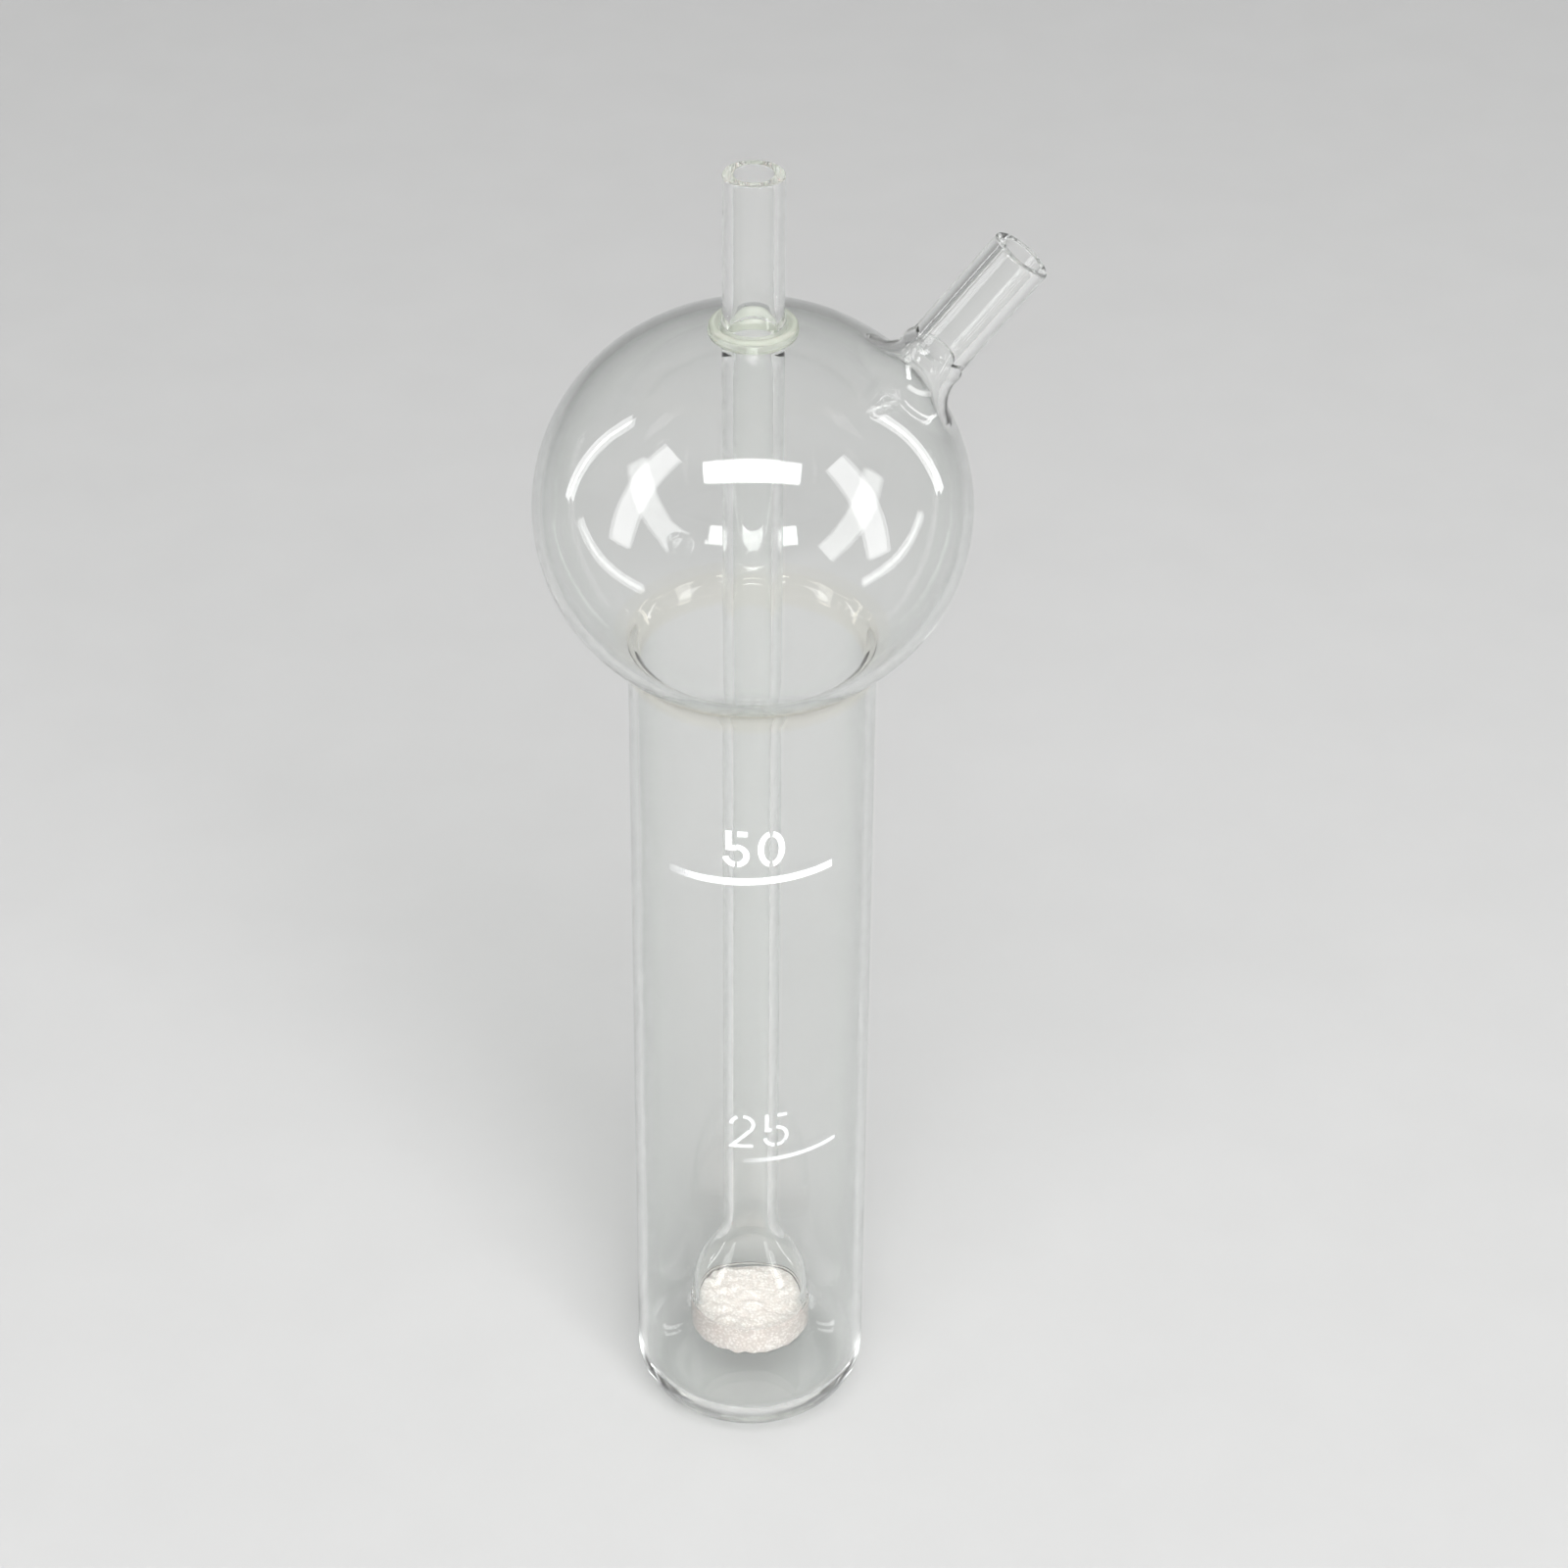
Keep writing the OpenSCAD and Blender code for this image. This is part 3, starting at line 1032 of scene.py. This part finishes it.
@dataclass
class GasInlet:
    """The ring seal in the crown, the inlet above it and the dip tube under it."""

    shop: Workshop
    ring: Extent = extent("ring_seal")
    inlet: Extent = extent("inlet_tube")
    dip: Extent = extent("dip_tube")
    ring_bore: float = 2.8 * MM
    foot_height: float = 2.2 * MM
    taper: float = 3.4 * MM
    bead: float = 0.5 * MM
    under: float = 0.6 * MM
    dish: tuple = ((0.15 * MM, 0.46 * MM), (0.35 * MM, 0.3 * MM), (0.5 * MM, 0.12 * MM))
    flare_steps: int = 12
    flare_bend: float = 0.6

    def __post_init__(self) -> None:
        """Reads the tubes' radii from the record and the frame."""
        self.tube = mount_radius("inlet_hose")
        self.bore = mount_radius("inlet_bore")
        self.foot = self.inlet.radius
        self.crown = self.inlet.low.z

    def make_ring(self) -> None:
        """Turns the thick ring with its raised outer bead and dished top."""
        r, b, top = self.ring.radius, self.ring_bore, self.crown
        low = self.ring.low.z + self.under
        bottom = self.ring.low.z
        bead_x = r - self.bead
        slope = [(bead_x - inward, top + rise) for inward, rise in self.dish]
        dish = [(bead_x, top + self.bead), *slope, (self.foot, top)]
        spans = [
            fused((b, bottom), (self.tube, bottom)),
            straight((self.tube, bottom), (r - self.under, bottom), 3),
            rounded((r - self.under, low), self.under, -90, 0, 8),
            fused((r, low), (r, top)),
            rounded((bead_x, top), self.bead, 0, 90, 10),
            swept(dish),
            fused((self.foot, top), (b, top)),
            straight((b, top), (b, bottom), 3),
        ]
        self.shop.turn("ring_seal_glass", "ring_seal", GlassKind.SEAL.value, spans)

    def make_inlet(self) -> None:
        """Turns the inlet with its spread foot and fire-polished lip."""
        low, waist = self.crown, self.crown + self.foot_height
        spread = self.foot - self.tube
        sweep = (self.foot_height**2 + spread**2) / (2 * spread)
        start = 180 + math.degrees(math.asin(self.foot_height / sweep))
        spans = [
            fused((self.ring_bore, low), (self.foot, low)),
            rounded((self.tube + sweep, waist), sweep, start, 180, 10),
            *polished_end(self.tube, self.bore, self.inlet.high.z, waist, low + self.taper),
            swept(self.bore_flare(low + self.taper, low)),
        ]
        self.shop.turn("inlet_tube_glass", "inlet_tube", GlassKind.TUBE.value, spans)

    def bore_flare(self, narrow: float, wide: float) -> list[tuple[float, float]]:
        """The bore between its straight part and the ring seal, as a soft flare.

        Args:
            narrow: Height where the bore is straight.
            wide: Height where it has the ring seal's bore.

        Returns:
            (radius, height) of each point, from the narrow end to the wide one.
        """
        made = []
        for i in range(self.flare_steps + 1):
            t = i / self.flare_steps
            spread = (self.ring_bore - self.bore) * t * t * (1 + self.flare_bend - self.flare_bend * t)
            made.append((self.bore + spread, narrow + (wide - narrow) * t))
        return made

    def make_dip(self) -> None:
        """Turns the long tube from the ring seal down to the bell."""
        low, top = self.dip.low.z, self.dip.high.z
        flare = self.bore_flare(top - self.taper, top)
        spans = [
            fused((self.bore, low), (self.tube, low)),
            straight((self.tube, low), (self.tube, top), 30),
            fused((self.tube, top), (self.ring_bore, top)),
            swept(flare[::-1]),
            straight((self.bore, top - self.taper), (self.bore, low), 28),
        ]
        self.shop.turn("dip_tube_glass", "dip_tube", GlassKind.TUBE.value, spans)

    def make(self) -> None:
        """Builds the ring seal, the inlet and the dip tube."""
        self.make_ring()
        self.make_inlet()
        self.make_dip()


# ---------------------------------------------------------------- bell and disc


@dataclass
class Frit:
    """The bell on the dip tube's end, the band at its mouth and the sintered disc."""

    shop: Workshop
    bell: Extent = extent("frit_bell")
    band: Extent = extent("frit_band")
    disc: Extent = extent("fritted_disc")
    bell_wall: float = 0.6 * MM
    shoulder: float = 1.5 * MM
    reach: float = 6.6 * MM
    band_round: float = 0.8 * MM
    band_lip: float = 0.15 * MM
    disc_gap: float = 0.004 * MM
    disc_edge: float = 0.35 * MM
    waves: int = 32
    finest_wave: float = 3600.0
    sunk: float = 0.2 * MM
    swell: float = 1.0 * MM
    rigid: float = 1.5 * MM
    seed: int = 7

    def __post_init__(self) -> None:
        """Reads the tube's radii from the record."""
        self.tube = mount_radius("inlet_hose")
        self.bore = mount_radius("inlet_bore")

    def ogee(self, narrow: float, wide: float, steps: int = 40) -> list[tuple[float, float]]:
        """The bell's S-shaped outline from its neck down to its shoulder.

        Args:
            narrow: Radius at the neck.
            wide: Radius at the shoulder.
            steps: Number of parts.

        Returns:
            (radius, height) of each point.
        """
        top, low = self.bell.high.z, self.bell.low.z + self.shoulder
        made = []
        for i in range(steps + 1):
            t = i / steps
            u = 1 - t
            r = narrow * (u**3 + 3 * u * u * t) + wide * (3 * u * t * t + t**3)
            z = top * u**3 + 3 * u * u * t * (top - self.reach)
            z += 3 * u * t * t * (low + self.reach) + low * t**3
            made.append((r, z))
        return made

    def make_bell(self) -> None:
        """Turns the thin bell."""
        low, top, outer = self.bell.low.z, self.bell.high.z, self.bell.radius
        inner = outer - self.bell_wall
        waist = low + self.shoulder
        spans = [
            fused((inner, low), (outer, low)),
            straight((outer, low), (outer, waist), 3),
            swept(self.ogee(self.tube, outer)[::-1]),
            fused((self.tube, top), (self.bore, top)),
            swept(self.ogee(self.bore, inner)),
            straight((inner, waist), (inner, low), 3),
        ]
        self.shop.turn("frit_bell_glass", "frit_bell", GlassKind.TUBE.value, spans)

    def make_band(self) -> None:
        """Turns the band that holds the disc."""
        low, top, outer = self.band.low.z, self.band.high.z, self.band.radius
        inner, bell = self.disc.radius, self.bell.radius
        edge, lip = self.band_round, self.band_lip
        spans = [
            straight((inner, low), (outer - edge, low), 2),
            rounded((outer - edge, low + edge), edge, -90, 0, 10),
            straight((outer, low + edge), (outer, top - lip), 4),
            rounded((outer - lip, top - lip), lip, 0, 90, 5),
            straight((outer - lip, top), (bell, top), 1),
            straight((bell, top), (inner, top), 2, face=Face.SINTERED),
            straight((inner, top), (inner, low), 4, face=Face.FUSED),
        ]
        self.shop.turn("frit_band_glass", "frit_band", GlassKind.TUBE.value, spans)

    def make_disc(self) -> None:
        """Turns the sintered disc and roughens its two faces by grain."""
        # The gap keeps the disc's surface clear of the band's and the bell's.
        low, top = self.disc.low.z, self.disc.high.z - self.disc_gap
        r, edge = self.disc.radius - self.disc_gap, self.disc_edge
        spans = [
            straight((0, low), (r - edge, low), 24),
            rounded((r - edge, low + edge), edge, -90, 0, 5),
            straight((r, low + edge), (r, top - edge), 12),
            rounded((r - edge, top - edge), edge, 0, 90, 5),
            straight((r - edge, top), (0, top), 24),
        ]
        mesh = joined("sintered_disc", turned(spans, TUBE_STEPS))
        self.roughen(mesh, low, top)
        self.shop.piece(mesh, "fritted_disc", SinteredGlass())

    def roughen(self, mesh: bpy.types.Mesh, low: float, top: float) -> None:
        """Sinks each point of the two faces by a grainy amount, never outwards.

        Args:
            mesh: The disc's mesh.
            low: Height of its underside.
            top: Height of its top.
        """
        middle = (low + top) / 2
        rng = np.random.default_rng(self.seed)
        waves = rng.uniform(-1, 1, (self.waves, 2)) * self.finest_wave
        phases = rng.uniform(0, 2 * np.pi, self.waves)
        for vertex in mesh.vertices:
            x, y, z = vertex.co
            swell = np.sin(waves @ np.array([x, y]) + phases).mean()
            depth = min(max(self.sunk + self.swell * swell, 0.0), 2 * self.sunk)
            share = min(abs(z - middle) / self.rigid, 1.0)
            vertex.co.z = z + (depth if z < middle else -depth) * share
        mesh.normals_split_custom_set([(0, 0, 0)] * len(mesh.loops))
        mesh.update()

    def make(self) -> None:
        """Builds the bell, the band and the disc."""
        self.make_bell()
        self.make_band()
        self.make_disc()


# ---------------------------------------------------------------- outlet


@dataclass
class Outlet:
    """The slanted outlet: a neck drawn out of the bulb, a weld ring and a plain tube."""

    shop: Workshop
    vessel: Vessel
    weld_from: float = 2.75 * MM
    weld_width: float = 1.7 * MM
    weld_radius: float = 4.1 * MM
    length: float = 19.5 * MM
    pull: float = 1.12
    bead_steps: int = 24

    def __post_init__(self) -> None:
        """Reads the tube's radii from the record."""
        self.tube = mount_radius("outlet_hose")
        self.bore = mount_radius("outlet_bore")
        self.place = Matrix.Translation(self.vessel.port) @ leaning(self.vessel.outlet_way)

    def make_neck(self) -> None:
        """Lofts the neck from the round patch in the bulb to the weld ring."""
        v = self.vessel
        port = v.port_place()
        outer = self.drawn(port, 0.0, v.neck)
        inner = self.drawn(port, v.wall, v.neck - v.wall)
        flipped = Strip(inner.points[:, ::-1], -inner.normals[:, ::-1])
        strips = [
            self.bridge(inner.points[:, 0], outer.points[:, 0]),
            outer,
            self.bridge(outer.points[:, -1], inner.points[:, -1]),
            flipped,
        ]
        mesh = joined("outlet_neck_glass", strips)
        self.shop.piece(mesh, "outlet_neck", GlassKind.VESSEL.value)

    def drawn(self, port: Matrix, inset: float, end: float, steps: int = 28) -> Strip:
        """One face of the neck's wall, curving from the bulb's surface into the tube.

        Args:
            port: The port's frame.
            inset: 0 for the outside of the wall, its thickness for the inside.
            end: Radius at the weld ring.
            steps: Number of parts along the neck.

        Returns:
            The strip, from the bulb outwards.
        """
        v = self.vessel
        rows = []
        for k in range(TUBE_STEPS):
            a = 2 * math.pi * k / TUBE_STEPS
            rim = port @ Vector((v.port_radius * math.cos(a), v.port_radius * math.sin(a), 0))
            start = v.drop(rim, v.port_way, inset)
            out = v.out_from(start)
            inward = (v.port - start).normalized()
            leave = (inward - out * inward.dot(out)).normalized()
            stop = self.place @ Vector((end * math.cos(a), end * math.sin(a), self.weld_from))
            span = (stop - start).length * self.pull
            row = []
            for i in range(steps + 1):
                t = i / steps
                row.append(
                    start * (2 * t**3 - 3 * t**2 + 1)
                    + leave * (span * (t**3 - 2 * t**2 + t))
                    + stop * (3 * t**2 - 2 * t**3)
                    + v.outlet_way * (span * (t**3 - t**2))
                )
            rows.append(row)
        points = np.array([[tuple(p) for p in row] for row in rows])
        along = np.gradient(points, axis=1)
        around = np.roll(points, -1, axis=0) - np.roll(points, 1, axis=0)
        normals = np.cross(around, along)
        normals /= np.linalg.norm(normals, axis=2)[:, :, None]
        return Strip(points, normals)

    @staticmethod
    def bridge(start: np.ndarray, end: np.ndarray) -> Strip:
        """The fused face between two rims.

        Args:
            start: Points of the first rim.
            end: Points of the second rim.

        Returns:
            The strip between them.
        """
        points = np.stack([start, end], axis=1)
        along = end - start
        around = np.roll(start, -1, axis=0) - np.roll(start, 1, axis=0)
        normal = np.cross(around, along)
        normal /= np.linalg.norm(normal, axis=1)[:, None]
        return Strip(points, np.stack([normal, normal], axis=1), Face.FUSED)

    def make_weld(self) -> None:
        """Turns the weld ring, a low round bead."""
        v = self.vessel
        low, top = self.weld_from, self.weld_from + self.weld_width
        inner, outer, tube = v.neck - v.wall, v.neck, self.tube
        bead = []
        for i in range(self.bead_steps + 1):
            t = i / self.bead_steps
            base = outer + (tube - outer) * t
            swell = math.sin(math.pi * t)
            bead.append((base + (self.weld_radius - (outer + tube) / 2) * swell, low + (top - low) * t))
        spans = [
            fused((inner, low), (outer, low)),
            swept(bead),
            fused((tube, top), (self.bore, top)),
            straight((self.bore, top), (inner, low), 4),
        ]
        finish = GlassKind.WELD.value
        self.shop.turn("outlet_weld_glass", "outlet_weld", finish, spans, place=self.place)

    def make_tube(self) -> None:
        """Turns the outlet tube with its fire-polished lip."""
        low = self.weld_from + self.weld_width
        spans = [
            fused((self.bore, low), (self.tube, low)),
            *polished_end(self.tube, self.bore, self.length, low, low),
        ]
        finish = GlassKind.TUBE.value
        self.shop.turn("outlet_tube_glass", "outlet_tube", finish, spans, place=self.place)

    def make(self) -> None:
        """Builds the neck, the weld ring and the tube."""
        self.make_neck()
        self.make_weld()
        self.make_tube()


# ---------------------------------------------------------------- graduation


@dataclass
class Graduation:
    """The two frosted lines and their numerals."""

    shop: Workshop

    def make(self) -> None:
        """Dresses the etched marks, each with its own strength and fade."""
        finishes = {
            "mark_50_line": FrostedEtch("frost upper line", fade_from=-12 * MM, fade_to=-3 * MM),
            "mark_50_digits": FrostedEtch("frost upper numerals", strength=0.85),
            "mark_25_line": FrostedEtch(
                "frost lower line", strength=0.36, fade_from=-4 * MM, fade_to=5 * MM
            ),
            "mark_25_digits": FrostedEtch("frost lower numerals", strength=0.36),
        }
        for node, finish in finishes.items():
            self.shop.dress(node, finish)


# ---------------------------------------------------------------- studio


class LampRole(Enum):
    """What a lamp is there for."""

    MIRRORED = "lights the bottle and shows in the glass"
    GLINT = "only shows in the glass"
    FILL = "only lights the bottle"


@dataclass
class Lamp:
    """A soft rectangular lamp that looks at the bottle."""

    name: str
    azimuth: float
    elevation: float
    distance: float
    width: float
    height: float
    power: float
    role: LampRole = LampRole.MIRRORED

    def make(self, target: Vector) -> None:
        """Hangs the lamp.

        Args:
            target: The point that it looks at.
        """
        a, e = math.radians(self.azimuth), math.radians(self.elevation)
        way = Vector((math.cos(a) * math.cos(e), math.sin(a) * math.cos(e), math.sin(e)))
        data = bpy.data.lights.new(self.name, "AREA")
        data.shape, data.size, data.size_y = "RECTANGLE", self.width, self.height
        data.energy = self.power
        lamp = bpy.data.objects.new(self.name, data)
        lamp.location = target + way * self.distance
        lamp.rotation_euler = way.to_track_quat("Z", "Y").to_euler()
        lamp.visible_camera = False
        lamp.visible_diffuse = self.role is not LampRole.GLINT
        lamp.visible_glossy = lamp.visible_transmission = self.role is not LampRole.FILL
        bpy.context.scene.collection.objects.link(lamp)
        log.info("lamp %s hangs at %.2f m", self.name, self.distance)


@dataclass
class Studio:
    """The pale floor, the soft lamps and the camera."""

    shop: Workshop
    floor_flat: float = 1.2
    floor_rise: float = 1.5
    floor_sunk: float = 0.0001
    floor_steps: int = 96
    lens: float = 96.65
    sensor: float = 36.0
    clip: tuple = (0.01, 50.0)
    camera_at: tuple = (-0.01844, -0.42734, 0.38639)
    look: tuple = (0.0433, 0.8260, -0.5620)
    roll: float = 0.495
    world_light: tuple = colour(0.98, 0.99, 1.0)
    horizon: float = 0.42
    zenith: float = 0.20
    zenith_from: float = 0.8
    lamps_look_at: tuple = (0, 0, 0.12)
    bounces: int = 128

    def make_floor(self) -> None:
        """Lays a wide pale floor that curves up far away."""
        flat, rise, sunk = self.floor_flat, self.floor_rise, self.floor_sunk
        # The section runs inwards, so that the floor's faces look up.
        spans = [
            rounded((flat, rise - sunk), rise, -5, -90, 24),
            straight((flat, -sunk), (0, -sunk), 12),
        ]
        mesh = joined("pale_floor", turned(spans, self.floor_steps))
        mesh.materials.append(self.shop.finishes.get(PaleFloor()))
        floor = bpy.data.objects.new("pale_floor", mesh)
        bpy.context.scene.collection.objects.link(floor)

    def make_lamps(self) -> None:
        """Hangs the lamps: a bar in front, boxes and strips at the sides, and two fills."""
        target = Vector(self.lamps_look_at)
        lamps = [
            Lamp("bar over front", -93, 57, 1.0, 0.85, 0.22, 7.0),
            Lamp("tall box left", -162, 24, 1.0, 0.24, 1.0, 3.4, LampRole.GLINT),
            Lamp("tall box right", -27, 20, 1.0, 0.24, 1.0, 3.4, LampRole.GLINT),
            Lamp("thin strip back left", 158, 16, 1.0, 0.08, 0.80, 1.1, LampRole.GLINT),
            Lamp("thin strip back right", 22, 16, 1.0, 0.08, 0.80, 1.1, LampRole.GLINT),
            Lamp("wide fill above", 60, 84, 2.6, 3.0, 3.0, 24.0, LampRole.FILL),
            Lamp("low fill in front", -80, 34, 2.2, 1.6, 1.2, 58.0, LampRole.FILL),
        ]
        for lamp in lamps:
            lamp.make(target)

    def make_world(self) -> None:
        """Lights the room dimly, a little more from the sides than from above."""
        world = bpy.data.worlds.new("soft room")
        bpy.context.scene.world = world
        world.use_nodes = True
        tree = world.node_tree
        back = tree.nodes["Background"]
        place = tree.nodes.new("ShaderNodeTexCoord")
        split = tree.nodes.new("ShaderNodeSeparateXYZ")
        ramp = tree.nodes.new("ShaderNodeMapRange")
        ramp.inputs["From Max"].default_value = self.zenith_from
        ramp.inputs["To Min"].default_value = self.horizon
        ramp.inputs["To Max"].default_value = self.zenith
        tree.links.new(place.outputs["Generated"], split.inputs[0])
        tree.links.new(split.outputs["Z"], ramp.inputs["Value"])
        tree.links.new(ramp.outputs["Result"], back.inputs["Strength"])
        back.inputs["Color"].default_value = self.world_light

    def make_camera(self) -> None:
        """Sets the camera in front of the bottle, looking down at it."""
        data = bpy.data.cameras.new("camera")
        data.lens, data.sensor_width = self.lens, self.sensor
        data.clip_start, data.clip_end = self.clip
        camera = bpy.data.objects.new("camera", data)
        forward = Vector(self.look).normalized()
        right = forward.cross(Vector((0, 0, 1))).normalized()
        up = right.cross(forward)
        a = math.radians(self.roll)
        tilted = right * math.cos(a) + up * math.sin(a)
        up = tilted.cross(forward)
        frame_of = Matrix((tilted, up, -forward)).transposed().to_4x4()
        camera.matrix_world = Matrix.Translation(Vector(self.camera_at)) @ frame_of
        bpy.context.scene.collection.objects.link(camera)
        bpy.context.scene.camera = camera

    def make(self) -> None:
        """Builds the floor, the lamps, the room's light and the camera."""
        self.make_floor()
        self.make_lamps()
        self.make_world()
        self.make_camera()
        scene = bpy.context.scene
        scene.view_settings.view_transform = "Standard"
        # A ray that grazes a wall crosses many faces before it leaves the glass.
        scene.cycles.max_bounces = self.bounces
        scene.cycles.transmission_bounces = self.bounces
        scene.cycles.glossy_bounces = self.bounces
        scene.cycles.transparent_max_bounces = self.bounces


def main() -> None:
    """Builds the bottle and its studio, in order."""
    logging.basicConfig(level=logging.INFO, format="%(message)s")
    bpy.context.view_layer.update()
    shop = Workshop()
    vessel = Vessel(shop)
    Studio(shop).make()
    vessel.make()
    GasInlet(shop).make()
    Frit(shop).make()
    Outlet(shop, vessel).make()
    Graduation(shop).make()


if __name__ == "__main__":
    main()
